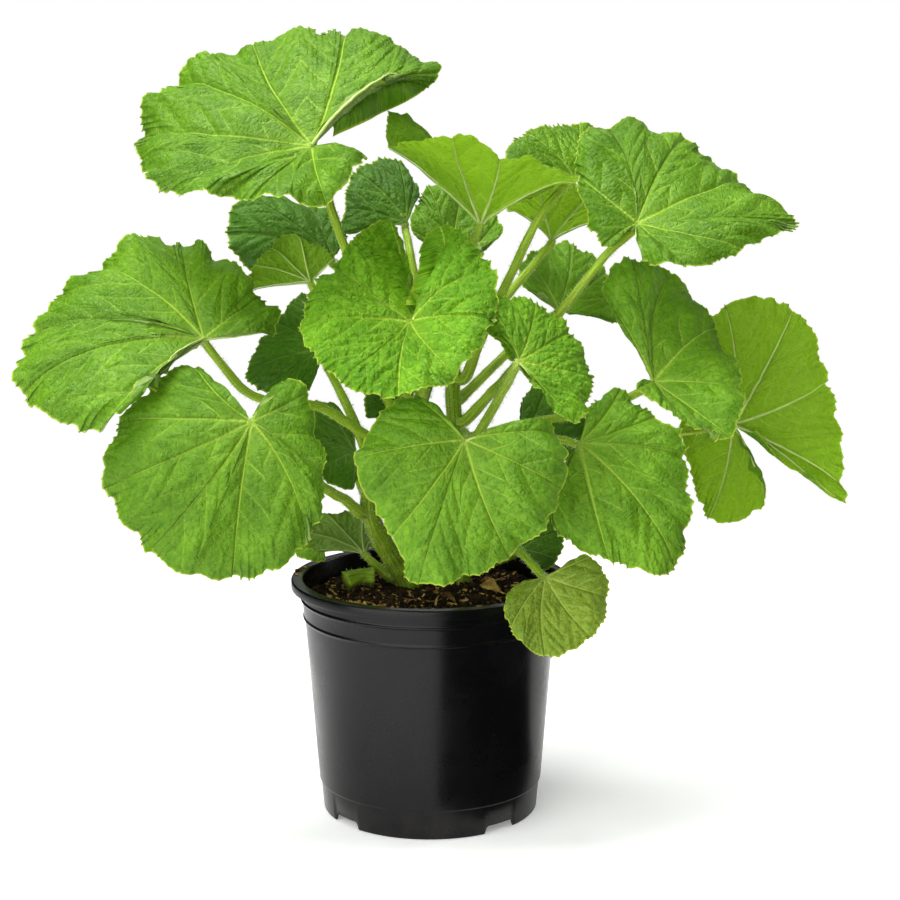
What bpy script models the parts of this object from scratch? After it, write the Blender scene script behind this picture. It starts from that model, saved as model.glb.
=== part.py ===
"""A young winter melon plant in a black nursery pot: pot, soil, two vine stems, and
every leaf as its own blade and stalk. Metres, +Z up, origin on the pot's axis at the
surface that the pot stands on. The plant's front faces -Y."""

import math

import bmesh
import bpy
from mathutils import Vector

MM = 0.001

# --- Pot -----------------------------------------------------------------------
POT_HEIGHT = 0.141
RIM_RADIUS = 0.0825
BASE_RADIUS = 0.0655
POT_WALL = 0.0014
FLOOR_THICKNESS = 0.002
LIP_HEIGHT = 0.0055
LIP_OVERHANG = 0.0062
COLLAR_HEIGHT = 0.0235
COLLAR_STEP = 0.0012
BAND_HEIGHT = 0.0125
BAND_STEP = 0.0004
FOOT_HEIGHT = 0.018
FOOT_STEP = 0.0011
NOTCH_COUNT = 4
NOTCH_WIDTH = 0.022
NOTCH_HEIGHT = 0.0045
NOTCH_DEPTH = 0.009
FIRST_NOTCH_DEGREES = 220
POT_SIDES = 60

# --- Soil ----------------------------------------------------------------------
SOIL_BELOW_RIM = 0.011
SOIL_BUMP = 0.0018
SOIL_SIDES = 40
SOIL_RINGS = 6

# --- Plant ---------------------------------------------------------------------
PLANT_SPREAD = 1.0  # across the plant, from the pot's axis
PLANT_RISE = 1.0  # up the plant, from the soil
PLANT_GROUND = 0.130  # the height of the soil among the plant's own points
CLEARANCE = 0.0003
BLADE_THICKNESS = 0.001
BLADE_RINGS = 4
BLADE_DOME = 0.07  # how far a blade bows out between its root and its edge
NOTCH_BETWEEN_LOBES = 0.95
ROOT_NOTCH_EDGE = 0.22  # where the edge of the deep notch starts, as a share of the lobe beside it
ROOT_NOTCH_CLOSING = 0.05  # how far the notch's edges bend towards each other, as a share of the next lobe
STALK_RADIUS = 0.0030
STALK_TAPER = 0.75
STALK_SETBACK = 0.001  # how far short of its blade's root a stalk ends
STALK_POINTS = 9
STALK_PASS = 2 * STALK_RADIUS / MM + 2.0  # between two stalks that cross, in millimetres
STUB_RADIUS = 0.0055
HANGING_LEAF = 15  # the one that hangs down outside the pot
HANG_GAP = 0.0206  # from the lip out to that leaf's root

# Each stem is a smooth curve through these points, in millimetres, with its radius.
STEMS = {
    "main": (0.0062, 0.0040, ((-11, 16, 130), (-27, 10, 157), (-36, 5, 180), (-32, 5, 200),
                              (-18, 8, 222), (-6, 12, 242), (0, 15, 265))),
    "second": (0.0052, 0.0038, ((19, 22, 130), (21, 22, 165), (17, 20, 205), (14, 18, 245),
                                (15, 20, 290), (19, 20, 318))),
}

# One row to a leaf: its stem and the height of its joint there, the points that the
# stalk bends through, the root where the stalk meets the blade, and the tips of the
# blade's veins from that root, round the leaf from one side of its deep notch to the
# other, in the order that puts the upper side outwards. All in millimetres.
LEAVES = (
    ("main", 252, ((-28, -10, 300), (-47, -17, 335)), (-65, -30, 395),
     ((70, 45, 40), (15, 80, 70), (-40, 75, 60), (-85, 55, 40), (-105, 30, 10),
      (-85, -15, -20), (-30, -40, -25), (10, -45, -25), (30, -20, 0))),
    ("main", 214, ((-45, -5, 232), (-66, -20, 247), (-100, -42, 256)), (-125, -55, 290),
     ((40, 5, 5), (30, 30, 25), (-20, 65, 55), (-70, 50, 40),
      (-100, 15, 5), (-100, -20, -25), (-55, -50, -40), (-20, -30, -15))),
    ("main", 180, ((-50, -12, 190), (-65, -35, 205), (-82, -70, 236)), (-95, -95, 250),
     ((-35, 25, 30), (-75, 10, 0), (-80, -5, -35), (-55, -15, -70), (-10, -15, -85),
      (30, -15, -65), (40, -5, -30), (30, 10, 15), (10, 15, 20))),
    ("main", 238, ((-3, -22, 256), (-5, -45, 280)), (-10, -60, 300),
     ((-15, 55, 50), (-45, 25, 30), (-60, -15, 0), (-35, -50, -25), (-5, -60, -30),
      (25, -50, -20), (45, -15, 5), (45, 15, 30), (15, 55, 50))),
    ("second", 196, ((18, -30, 225), (20, -70, 240)), (20, -95, 240),
     ((-30, 15, 25), (-60, 0, -10), (-40, -15, -50), (-25, -25, -75),
      (25, -20, -60), (55, -10, -25), (50, 5, 5), (35, 15, 10))),
    ("second", 210, ((26, -20, 226), (42, -48, 260)), (50, -75, 280),
     ((10, -15, -10), (30, -20, -30), (40, 5, -10), (30, 25, 15),
      (10, 30, 30), (-20, 15, 35), (-15, 0, 20))),
    ("second", 187, ((45, -8, 208), (70, -30, 228)), (85, -50, 230),
     ((-10, -10, -15), (-15, -20, -45), (15, -30, -60), (55, -25, -65),
      (60, -5, -5), (45, 10, 15), (25, 20, 30), (5, 10, 20))),
    ("second", 232, ((50, 8, 265), (80, 4, 303), (105, 0, 335)), (120, 0, 350),
     ((0, -35, -15), (25, -40, -20), (60, -25, -10), (95, 5, 5), (65, 35, 25),
      (35, 60, 50), (-15, 60, 60), (-35, 20, 30), (-20, -20, -10))),
    ("second", 316, ((25, 14, 335),), (30, 10, 350),
     ((-25, 35, 35), (-45, 0, 62), (-48, -20, 42), (-15, -45, 48), (10, -45, 40),
      (50, -25, 28), (31, 27, 15))),
    ("second", 258, ((32, 15, 285), (46, 18, 315), (66, 22, 355)), (85, 30, 375),
     ((35, 30, 15), (5, 30, 30), (-25, 10, 25), (-40, -15, 10), (-30, -20, -5))),
    ("second", 272, ((35, 40, 290), (55, 58, 312)), (75, 80, 335),
     ((-15, 25, 15), (-24, 0, 20), (-8, -20, 32), (28, -20, 32), (32, 5, 12), (20, 30, 15))),
    ("second", 244, ((40, 45, 262), (62, 70, 280)), (80, 85, 290),
     ((35, 0, -5), (30, 30, 20), (10, 35, 40), (-20, 10, 30), (-20, -10, 15))),
    ("second", 220, ((60, 8, 232), (100, -4, 242)), (130, -15, 260),
     ((-10, -15, 0), (20, -30, -20), (40, -35, -25), (50, -15, 0),
      (40, 30, 30), (15, 45, 60), (-10, 35, 70), (-30, 20, 50))),
    ("second", 204, ((45, 21 + STALK_PASS, 209), (110, 27, 221), (155, 25, 224)),
     (185, 45, 225),
     ((20, -15, -44), (-12, 1, -60), (-30, 15, -5), (-25, 22, 30), (-5, 10, 72),
      (35, -8, 72), (55, -18, 28), (65, -30, -30), (58, -32, -42))),
    ("second", 150, ((38, -10, 166), (50, -45, 168)), (65, -80, 160),
     ((-20, -5, -5), (-20, -15, -25), (0, -20, -40), (25, -15, -30), (35, -5, -10),
      (25, 5, 10))),
    ("main", 250 - STALK_PASS, ((-30, 30, 280), (-50, 52, 312)), (-60, 60, 325),
     ((10, 20, 15), (-15, 30, 30), (-50, 15, 35), (-60, 0, 15), (-40, -5, -10))),
    ("main", 230, ((-40, 14, 270), (-62, 15, 300)), (-70, 15, 315),
     ((-20, 22, 10), (-35, -2, -5), (-28, -10, 10), (-20, -16, 22), (-4, -20, 28),
      (12, -8, 16), (8, 20, 15))),
    ("main", 262, ((-6, 40, 290), (-12, 65, 325)), (-15, 80, 345),
     ((5, 10, 10), (5, 20, 25), (-5, 25, 35), (-30, 15, 30), (-35, -5, 10), (-35, -15, -5))),
    ("second", 290, ((14, 45, 302),), (15, 70, 320),
     ((25, 10, 15), (25, 25, 25), (5, 35, 40), (-15, 25, 45), (-25, 5, 20))),
    ("main", 205, ((-46, 8, 236),), (-65, 15, 275),
     ((-10, 25, 30), (-25, 10, 15), (-40, -10, -10), (-30, -15, -20), (-5, -15, -20))),
    ("main", 190, (), (-45, 25, 210),
     ((-5, 15, 20), (-20, 15, 30), (-30, -10, 15), (-20, -25, -5), (0, -25, -15))),
    ("main", 216, (), (-15, 20, 235),
     ((10, 20, 20), (-10, 15, 20), (-20, 0, 15), (-20, -10, 0))),
    ("second", 176, (), (55, 20, 220),
     ((15, -10, -10), (35, -5, -5), (35, 10, 15), (15, 20, 30), (0, 10, 20))),
    ("main", 140, (), (-40, 20, 150),
     ((-28, -2, 2), (-32, -12, 15), (-20, -15, 27), (0, -8, 24), (8, 10, 12))),
    ("second", 140, (), (55, 30, 150),
     ((10, -10, -10), (20, -5, -5), (25, 5, 10), (15, 15, 20), (0, 15, 15))),
    ("second", 150, ((-2, 38, 148), (-38, 46, 150)), (-65, 40, 155),
     ((-5, 15, 5), (-15, 10, -5), (-15, -5, -10), (0, -10, -10))),
    ("main", 250, ((-14, 45, 270),), (-25, 85, 290),
     ((28, 8, 18), (45, 12, -10), (22, 15, -38), (-12, 18, -45), (-45, 12, -15),
      (-28, 8, 18))),
)

# The cut-off stub of the first leaf's stalk, lying against the foot of the main stem.
STUB_ENDS = ((-34, 4, 139), (-50, -2, 138))


def clear_scene():
    for thing in list(bpy.data.objects):
        bpy.data.objects.remove(thing, do_unlink=True)


def new_collection(name):
    collection = bpy.data.collections.new(name)
    bpy.context.scene.collection.children.link(collection)
    return collection


def plain_material(name, colour, roughness):
    material = bpy.data.materials.new(name)
    material.use_nodes = True
    shader = material.node_tree.nodes["Principled BSDF"]
    shader.inputs["Base Color"].default_value = (*colour, 1.0)
    shader.inputs["Roughness"].default_value = roughness
    shader.inputs["Metallic"].default_value = 0.0
    return material


def mesh_object(name, build, collection, material=None):
    """A new object whose mesh the function build makes in an empty bmesh."""
    mesh = bpy.data.meshes.new(name)
    shape = bmesh.new()
    build(shape)
    shape.to_mesh(mesh)
    shape.free()
    thing = bpy.data.objects.new(name, mesh)
    collection.objects.link(thing)
    if material:
        mesh.materials.append(material)
    return thing


def place(point):
    """A plant point, given in millimetres, where it stands in metres."""
    ground = POT_HEIGHT - SOIL_BELOW_RIM
    x, y, z = (value * MM for value in point)
    return Vector((x * PLANT_SPREAD, y * PLANT_SPREAD, ground + (z - PLANT_GROUND) * PLANT_RISE))


def stretch(vector):
    """A length and direction on the plant, given in millimetres, in metres."""
    x, y, z = (value * MM for value in vector)
    return Vector((x * PLANT_SPREAD, y * PLANT_SPREAD, z * PLANT_RISE))


def root_of(number, row):
    """Where a leaf's stalk meets its blade. The leaf outside the pot is set off from the lip."""
    root = place(row[3])
    if number == HANGING_LEAF:
        reach = root.xy.length
        root.xy *= (RIM_RADIUS + HANG_GAP) / reach
    return root


def smooth_curve(points, steps):
    """A Catmull-Rom curve through points, with steps stretches between each two."""
    ends = [2 * points[0] - points[1], *points, 2 * points[-1] - points[-2]]
    curve = []
    for before, start, end, after in zip(ends, ends[1:], ends[2:], ends[3:]):
        for step in range(steps):
            t = step / steps
            curve.append(
                0.5 * (2 * start + (end - before) * t
                       + (2 * before - 5 * start + 4 * end - after) * t ** 2
                       + (3 * start - before - 3 * end + after) * t ** 3)
            )
    curve.append(points[-1].copy())
    return curve


def evenly(points, count):
    """count points at equal distances along a line of points."""
    lengths = [(b - a).length for a, b in zip(points, points[1:])]
    total = sum(lengths)
    found = []
    for number in range(count):
        wanted = total * number / (count - 1)
        index = 0
        while index < len(lengths) - 1 and wanted > lengths[index]:
            wanted -= lengths[index]
            index += 1
        share = min(1.0, wanted / lengths[index])
        found.append(points[index].lerp(points[index + 1], share))
    return found


def tube(name, points, start_radius, end_radius, sides, collection, material):
    """A tapering tube with flat ends through points, as a poly curve with a bevel."""
    curve = bpy.data.curves.new(name, "CURVE")
    curve.dimensions = "3D"
    curve.bevel_depth = 1.0
    curve.bevel_resolution = (sides - 4) // 2
    curve.use_fill_caps = True
    spline = curve.splines.new("POLY")
    spline.points.add(len(points) - 1)
    for index, (spot, point) in enumerate(zip(spline.points, points)):
        spot.co = (*point, 1.0)
        share = index / (len(points) - 1)
        spot.radius = start_radius + (end_radius - start_radius) * share
    curve.materials.append(material)
    thing = bpy.data.objects.new(name, curve)
    collection.objects.link(thing)
    return thing


# --- Pot and soil ----------------------------------------------------------------


def wall_radius(height):
    """The outer radius of the plain tapered wall, carried up to the rim, at a height."""
    top = RIM_RADIUS - LIP_OVERHANG
    return BASE_RADIUS + (top - BASE_RADIUS) * height / POT_HEIGHT


def pot_profile():
    """The pot's section: floor, up the inside, over the lip and down the outside."""
    collar_bottom = POT_HEIGHT - COLLAR_HEIGHT
    band_bottom = POT_HEIGHT - BAND_HEIGHT
    lip_bottom = POT_HEIGHT - LIP_HEIGHT
    lip_round = 0.0012
    draft = 0.0006
    inner = [
        (0.0, FLOOR_THICKNESS),
        (wall_radius(FLOOR_THICKNESS) - POT_WALL - FOOT_STEP, FLOOR_THICKNESS),
        (wall_radius(FOOT_HEIGHT) - POT_WALL, FOOT_HEIGHT),
        (wall_radius(collar_bottom) - POT_WALL, collar_bottom),
        (wall_radius(lip_bottom) + BAND_STEP - POT_WALL, POT_HEIGHT - lip_round),
    ]
    lip = [
        (wall_radius(POT_HEIGHT) + lip_round, POT_HEIGHT),
        (RIM_RADIUS - lip_round, POT_HEIGHT - draft),
        (RIM_RADIUS, POT_HEIGHT - draft - lip_round),
        (RIM_RADIUS, lip_bottom + lip_round / 2),
        (RIM_RADIUS - lip_round, lip_bottom),
    ]
    outer = [
        (wall_radius(lip_bottom) + COLLAR_STEP, lip_bottom),
        (wall_radius(band_bottom) + COLLAR_STEP, band_bottom),
        (wall_radius(band_bottom) + COLLAR_STEP - BAND_STEP, band_bottom - draft),
        (wall_radius(collar_bottom) + COLLAR_STEP - BAND_STEP, collar_bottom),
        (wall_radius(collar_bottom), collar_bottom - draft),
        (wall_radius(FOOT_HEIGHT), FOOT_HEIGHT),
        (wall_radius(FOOT_HEIGHT) - FOOT_STEP, FOOT_HEIGHT - draft),
        (BASE_RADIUS - FOOT_STEP, 0.0),
        (0.0, 0.0),
    ]
    return inner + lip + outer


def make_pot(parts, cutters, material):
    def profile(shape):
        corners = [shape.verts.new((radius, 0, height)) for radius, height in pot_profile()]
        for a, b in zip(corners, corners[1:]):
            shape.edges.new((a, b))

    pot = mesh_object("pot", profile, parts, material)
    screw = pot.modifiers.new("turned", "SCREW")
    screw.steps = POT_SIDES
    screw.render_steps = POT_SIDES
    screw.use_merge_vertices = True
    screw.merge_threshold = 0.0001
    for number in range(NOTCH_COUNT):
        turn = math.radians(FIRST_NOTCH_DEGREES) + number * math.tau / NOTCH_COUNT

        def block(shape):
            bmesh.ops.create_cube(shape, size=1.0)

        cutter = mesh_object(f"notch_cutter_{number + 1}", block, cutters)
        cutter.scale = (2 * NOTCH_DEPTH, NOTCH_WIDTH, 2 * NOTCH_HEIGHT)
        cutter.rotation_euler = (0, 0, turn)
        cutter.location = (BASE_RADIUS * math.cos(turn), BASE_RADIUS * math.sin(turn), 0)
        cutter.hide_render = True
        cutter.display_type = "WIRE"
        cut = pot.modifiers.new(f"notch {number + 1}", "BOOLEAN")
        cut.operation = "DIFFERENCE"
        cut.solver = "EXACT"
        cut.object = cutter


def soil_height(x, y):
    """The height of the soil's gently uneven top at a place in the pot."""
    wave = math.sin(95 * x + 1.0) * math.cos(80 * y - 0.6) + 0.6 * math.sin(150 * y + 60 * x)
    return POT_HEIGHT - SOIL_BELOW_RIM + SOIL_BUMP * 0.5 * wave


def make_soil(parts, material):
    edge = wall_radius(POT_HEIGHT - SOIL_BELOW_RIM - SOIL_BUMP) - POT_WALL - CLEARANCE * 2
    foot = wall_radius(FOOT_HEIGHT) - POT_WALL - CLEARANCE * 2
    toe = wall_radius(FLOOR_THICKNESS) - POT_WALL - FOOT_STEP - CLEARANCE * 2
    floor = FLOOR_THICKNESS + CLEARANCE

    def ring(shape, radius, height=None):
        spots = []
        for side in range(SOIL_SIDES):
            turn = side * math.tau / SOIL_SIDES
            x = radius * math.cos(turn)
            y = radius * math.sin(turn)
            spots.append(shape.verts.new((x, y, soil_height(x, y) if height is None else height)))
        return spots

    def plug(shape):
        rings = [ring(shape, edge * number / SOIL_RINGS) for number in range(1, SOIL_RINGS + 1)]
        rings.append(ring(shape, foot, FOOT_HEIGHT))
        rings.append(ring(shape, toe, floor))
        for upper, lower in zip(rings, rings[1:]):
            bmesh.ops.bridge_loops(
                shape,
                edges=[edge_between(shape, loop, side) for loop in (upper, lower)
                       for side in range(SOIL_SIDES)],
            )
        top = shape.verts.new((0, 0, soil_height(0, 0)))
        for side in range(SOIL_SIDES):
            shape.faces.new((top, rings[0][side], rings[0][(side + 1) % SOIL_SIDES]))
        shape.faces.new(rings[-1][::-1])
        bmesh.ops.recalc_face_normals(shape, faces=shape.faces)

    mesh_object("soil", plug, parts, material)


def edge_between(shape, loop, side):
    a, b = loop[side], loop[(side + 1) % len(loop)]
    return shape.edges.get((a, b)) or shape.edges.new((a, b))


# --- Plant -----------------------------------------------------------------------


def stem_line(stem):
    return smooth_curve([place(point) for point in STEMS[stem][2]], 4)


def on_stem(stem, height):
    """The stem's centre, direction and radius at a height given in millimetres."""
    line = stem_line(stem)
    level = place((0, 0, height)).z
    index = min(range(1, len(line)), key=lambda i: abs((line[i].z + line[i - 1].z) / 2 - level))
    below, above = line[index - 1], line[index]
    share = min(1.0, max(0.0, (level - below.z) / (above.z - below.z)))
    start_radius, end_radius, _ = STEMS[stem]
    along = (index - 1 + share) / (len(line) - 1)
    radius = start_radius + (end_radius - start_radius) * along
    return below.lerp(above, share), (above - below).normalized(), radius


def make_stems(parts, material):
    for stem, (start_radius, end_radius, _) in STEMS.items():
        line = stem_line(stem)
        lean = (line[1] - line[0]).normalized()
        tilt = start_radius * math.sqrt(1 - lean.z ** 2)
        foot = POT_HEIGHT - SOIL_BELOW_RIM + SOIL_BUMP + tilt + CLEARANCE
        start = line[0] + lean * ((foot - line[0].z) / lean.z)
        line = [start, *(point for point in line if point.z > foot + start_radius / 2)]
        tube(f"stem_{stem}", line, start_radius, end_radius, 8, parts, material)


def upper_side(lobes):
    """The direction that a blade's upper side faces at its root."""
    total = Vector()
    for a, b in zip(lobes, lobes[1:]):
        total += a.cross(b)
    return total.normalized()


def blade_edge(lobes):
    """The blade's outline from its root: through each lobe's tip, and in between them."""
    first = lobes[0] * ROOT_NOTCH_EDGE - lobes[1] * ROOT_NOTCH_CLOSING
    last = lobes[-1] * ROOT_NOTCH_EDGE - lobes[-2] * ROOT_NOTCH_CLOSING
    spots = [first, *lobes, last]
    edge = smooth_curve(spots, 2)
    for index in range(3, len(edge) - 3, 2):
        edge[index] *= NOTCH_BETWEEN_LOBES
    return edge


def make_blade(name, root, lobes, parts, material):
    """A blade: spokes from its root to its edge, bowed along its upper side's direction."""
    out = upper_side(lobes)

    def sheet(shape):
        centre = shape.verts.new(root)
        spokes = []
        for tip in blade_edge(lobes):
            spoke = [centre]
            for ring in range(1, BLADE_RINGS + 1):
                share = ring / BLADE_RINGS
                bow = out * (BLADE_DOME * tip.length * 4 * share * (1 - share))
                spoke.append(shape.verts.new(root + tip * share + bow))
            spokes.append(spoke)
        for left, right in zip(spokes, spokes[1:]):
            shape.faces.new((centre, left[1], right[1]))
            for ring in range(1, BLADE_RINGS):
                shape.faces.new((left[ring], left[ring + 1], right[ring + 1], right[ring]))

    blade = mesh_object(name, sheet, parts, material)
    shell = blade.modifiers.new("thickness", "SOLIDIFY")
    shell.thickness = BLADE_THICKNESS
    shell.offset = -1
    blade.data.shade_smooth()


def make_stalk(name, row, root, parts, material):
    """A stalk from just off its stem to just under its blade's root."""
    stem, height, bends, _, lobes = row
    centre, along, stem_radius = on_stem(stem, height)
    lobes = [stretch(lobe) for lobe in lobes]
    out = upper_side(lobes)
    end_radius = STALK_RADIUS * STALK_TAPER
    bends = [place(bend) for bend in bends]
    last = bends[-1] if bends else centre
    arrival = (root - last).normalized()
    slant = math.sqrt(max(0.0, 1 - arrival.dot(out) ** 2))
    end = root - out * (BLADE_THICKNESS + 2 * CLEARANCE + end_radius * slant)
    end -= arrival * STALK_SETBACK
    first = (bends + [end])[0]
    outward = (first - centre) - along * (first - centre).dot(along)
    outward.normalize()
    leave = (first - centre).normalized()
    slant = math.sqrt(max(0.0, 1 - leave.dot(outward) ** 2))
    start = centre + outward * (stem_radius + 2 * CLEARANCE + STALK_RADIUS * slant)
    line = evenly(smooth_curve([start, *bends, end], 8), STALK_POINTS)
    tube(name, line, STALK_RADIUS, end_radius, 6, parts, material)


def main():
    clear_scene()
    parts = new_collection("potted_winter_melon")
    cutters = new_collection("cutters")
    plastic = plain_material("black_pot_plastic", (0.018, 0.018, 0.019), 0.42)
    soil = plain_material("potting_soil", (0.022, 0.014, 0.009), 0.95)
    green = plain_material("leaf_green", (0.10, 0.27, 0.04), 0.55)
    stem = plain_material("stem_green", (0.25, 0.42, 0.09), 0.5)
    make_pot(parts, cutters, plastic)
    make_soil(parts, soil)
    make_stems(parts, stem)
    stub = [place(point) for point in STUB_ENDS]
    tube("stalk_stub", stub, STUB_RADIUS, STUB_RADIUS, 8, parts, stem)
    for number, row in enumerate(LEAVES, start=1):
        lobes = [stretch(lobe) for lobe in row[4]]
        root = root_of(number, row)
        make_blade(f"leaf_{number:02}_blade", root, lobes, parts, green)
        make_stalk(f"leaf_{number:02}_stalk", row, root, parts, stem)


main()
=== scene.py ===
import math

import bpy
import numpy as np
from mathutils import Matrix, Vector


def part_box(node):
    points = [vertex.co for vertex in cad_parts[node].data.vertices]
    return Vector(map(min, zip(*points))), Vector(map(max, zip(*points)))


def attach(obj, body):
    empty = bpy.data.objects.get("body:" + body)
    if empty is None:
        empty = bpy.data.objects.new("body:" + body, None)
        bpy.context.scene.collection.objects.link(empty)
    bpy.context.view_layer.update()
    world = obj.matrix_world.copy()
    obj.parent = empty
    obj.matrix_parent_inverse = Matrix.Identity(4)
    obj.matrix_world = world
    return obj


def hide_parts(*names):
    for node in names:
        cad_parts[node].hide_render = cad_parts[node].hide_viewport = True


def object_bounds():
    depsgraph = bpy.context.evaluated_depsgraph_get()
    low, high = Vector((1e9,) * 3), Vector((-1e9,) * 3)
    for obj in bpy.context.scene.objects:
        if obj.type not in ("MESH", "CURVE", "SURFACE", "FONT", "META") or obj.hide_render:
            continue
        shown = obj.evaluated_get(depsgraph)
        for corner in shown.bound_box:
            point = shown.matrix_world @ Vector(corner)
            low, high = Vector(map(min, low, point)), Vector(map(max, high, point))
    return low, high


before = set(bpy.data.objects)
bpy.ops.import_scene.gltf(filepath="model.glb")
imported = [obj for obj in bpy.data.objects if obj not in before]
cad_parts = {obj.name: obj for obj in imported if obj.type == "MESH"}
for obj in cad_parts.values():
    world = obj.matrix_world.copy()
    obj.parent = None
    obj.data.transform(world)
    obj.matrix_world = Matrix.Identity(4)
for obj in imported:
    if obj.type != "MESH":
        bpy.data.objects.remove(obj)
cad_low, cad_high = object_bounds()

# --- Pot -------------------------------------------------------------------------
# The pot is one shell of black plastic, injection moulded, satin outside. It has a turned
# down lip, two raised rings under it and a foot skirt with four notches. The cold mould
# left faint flow marks in its wall, and handling has left dust and specks.

MM = 0.001
POT_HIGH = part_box("pot")[1]
POT_TOP = POT_HIGH.z
LIP_RADIUS = POT_HIGH.x
LIP_REACH = 0.0062  # how far the lip stands out from the wall
LIP_DROP = 0.0055  # how far it hangs down
FOOT_INSET = 0.017  # how much narrower the foot is than the lip
FOOT_RADIUS = LIP_RADIUS - FOOT_INSET
UPPER_RING_DROP = 0.0125  # from the top of the lip
LOWER_RING_DROP = 0.0235
FOOT_SKIRT = 0.018
FOOT_STEP = 0.0011  # how far the skirt is set in from the wall
FLOOR_HEIGHT = 0.0052
FLOOR_THICK = 0.0016
CORNER_ROUND = 0.0011
WALL = 0.0014
POT_TURN = 288  # stretches round the pot
NOTCHES = 4
NOTCH_HALF = 0.011  # half the width of a notch, along the foot
NOTCH_RISE = 0.0045
NOTCH_SLOPE = 0.0012
NOTCH_FIRST = math.radians(220)


def shape(name, points, faces, materials, stands_for, kinds=None, smooth=True):
    """A piece made from arrays of points and faces, which rides on the frame's one body."""
    mesh = bpy.data.meshes.new(name)
    sizes = np.concatenate([np.full(len(group), group.shape[1]) for group in faces])
    corners = np.concatenate([group.ravel() for group in faces])
    mesh.vertices.add(len(points))
    mesh.vertices.foreach_set("co", np.asarray(points, np.float32).ravel())
    mesh.loops.add(len(corners))
    mesh.loops.foreach_set("vertex_index", corners.astype(np.int32))
    mesh.polygons.add(len(sizes))
    mesh.polygons.foreach_set("loop_start", (np.cumsum(sizes) - sizes).astype(np.int32))
    for material in materials:
        mesh.materials.append(material)
    if kinds is not None:
        mesh.polygons.foreach_set("material_index", np.asarray(kinds, np.int32))
    mesh.polygons.foreach_set("use_smooth", np.full(len(sizes), smooth))
    mesh.update(calc_edges=True)
    piece = bpy.data.objects.new(name, mesh)
    bpy.context.scene.collection.objects.link(piece)
    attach(piece, "root")
    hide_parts(*stands_for)
    return piece


def grid_faces(rows, columns, closed):
    """Four-cornered faces of a grid of points, its columns joined up if it is closed."""
    row = np.arange(rows - 1)[:, None]
    column = np.arange(columns if closed else columns - 1)[None, :]
    after = (column + 1) % columns
    corners = [row * columns + column, (row + 1) * columns + column,
               (row + 1) * columns + after, row * columns + after]
    return np.stack([np.broadcast_to(c, (rows - 1, column.size)) for c in corners], -1).reshape(-1, 4)


def put(tree, kind, inputs=(), **settings):
    """A new shader node, with each input linked if it is given a socket and set if not."""
    node = tree.nodes.new("ShaderNode" + kind)
    for name, value in settings.items():
        setattr(node, name, value)
    for key, value in dict(inputs).items():
        socket = next(s for s in node.inputs if s.enabled and key in (s.identifier, s.name))
        if isinstance(value, bpy.types.NodeSocket):
            tree.links.new(value, socket)
        else:
            socket.default_value = value
    return node


def sums(tree, operation, a, b=0.0, c=0.0):
    node = put(tree, "Math", operation=operation)
    for socket, value in zip(node.inputs, (a, b, c)):
        if isinstance(value, bpy.types.NodeSocket):
            tree.links.new(value, socket)
        else:
            socket.default_value = value
    return node.outputs[0]


def fade(tree, value, start, end, low=0.0, high=1.0):
    """low where value is start, high where it is end, and a smooth change between them."""
    node = put(tree, "MapRange", {"Value": value, "From Min": start, "From Max": end,
                                  "To Min": low, "To Max": high}, interpolation_type="SMOOTHSTEP")
    return node.outputs["Result"]


def blend(tree, amount, below, above, how="MIX"):
    below, above = (c if isinstance(c, bpy.types.NodeSocket) else (*c, 1.0) for c in (below, above))
    node = put(tree, "Mix", {"Factor_Float": amount, "A_Color": below, "B_Color": above},
               data_type="RGBA", blend_type=how)
    return next(socket for socket in node.outputs if socket.enabled)


def new_finish(name, **values):
    """A material with one Principled shader, whose plain values are set on its own sockets."""
    material = bpy.data.materials.new(name)
    material.use_nodes = True
    tree = material.node_tree
    shader = tree.nodes["Principled BSDF"]
    for key, value in values.items():
        shader.inputs[key.replace("_", " ").title().replace("Ior", "IOR")].default_value = value
    return material, tree, shader


def new_group(name, takes, gives):
    """An empty shader node group with these inputs {name: default} and output names."""
    group = bpy.data.node_groups.new(name, "ShaderNodeTree")
    for key, value in takes.items():
        kind = "NodeSocketColor" if isinstance(value, tuple) else "NodeSocketFloat"
        group.interface.new_socket(key, in_out="INPUT", socket_type=kind).default_value = value
    for key, kind in gives.items():
        group.interface.new_socket(key, in_out="OUTPUT", socket_type="NodeSocket" + kind)
    return group, group.nodes.new("NodeGroupInput").outputs, group.nodes.new("NodeGroupOutput").inputs


def use(tree, group, inputs):
    node = tree.nodes.new("ShaderNodeGroup")
    node.node_tree = group
    for key, value in inputs.items():
        if isinstance(value, bpy.types.NodeSocket):
            tree.links.new(value, node.inputs[key])
        else:
            node.inputs[key].default_value = value
    return node.outputs


def object_place(tree):
    return put(tree, "TexCoord").outputs["Object"]


# Cloudy patches and small specks, for dust, flow marks, bruises and blotches.
patches, takes, gives = new_group(
    "patches", {"Size": 0.02, "Speck Size": 0.002, "Speck Share": 0.3},
    {"Cloud": "Float", "Speck": "Float"})
here = object_place(patches)
cloud = put(patches, "TexNoise", {"Vector": here, "Scale": sums(patches, "DIVIDE", 1.0, takes["Size"]),
                                  "Detail": 5.0, "Roughness": 0.6})
patches.links.new(fade(patches, cloud.outputs["Fac"], 0.35, 0.68), gives["Cloud"])
cells = put(patches, "TexVoronoi", {"Vector": here, "Randomness": 1.0,
                                    "Scale": sums(patches, "DIVIDE", 1.0, takes["Speck Size"])})
chance = put(patches, "SeparateColor", {"Color": cells.outputs["Color"]}).outputs["Red"]
picked = sums(patches, "LESS_THAN", chance, takes["Speck Share"])
dot = fade(patches, cells.outputs["Distance"], 0.32, 0.16)
patches.links.new(sums(patches, "MULTIPLY", picked, dot), gives["Speck"])

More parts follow.
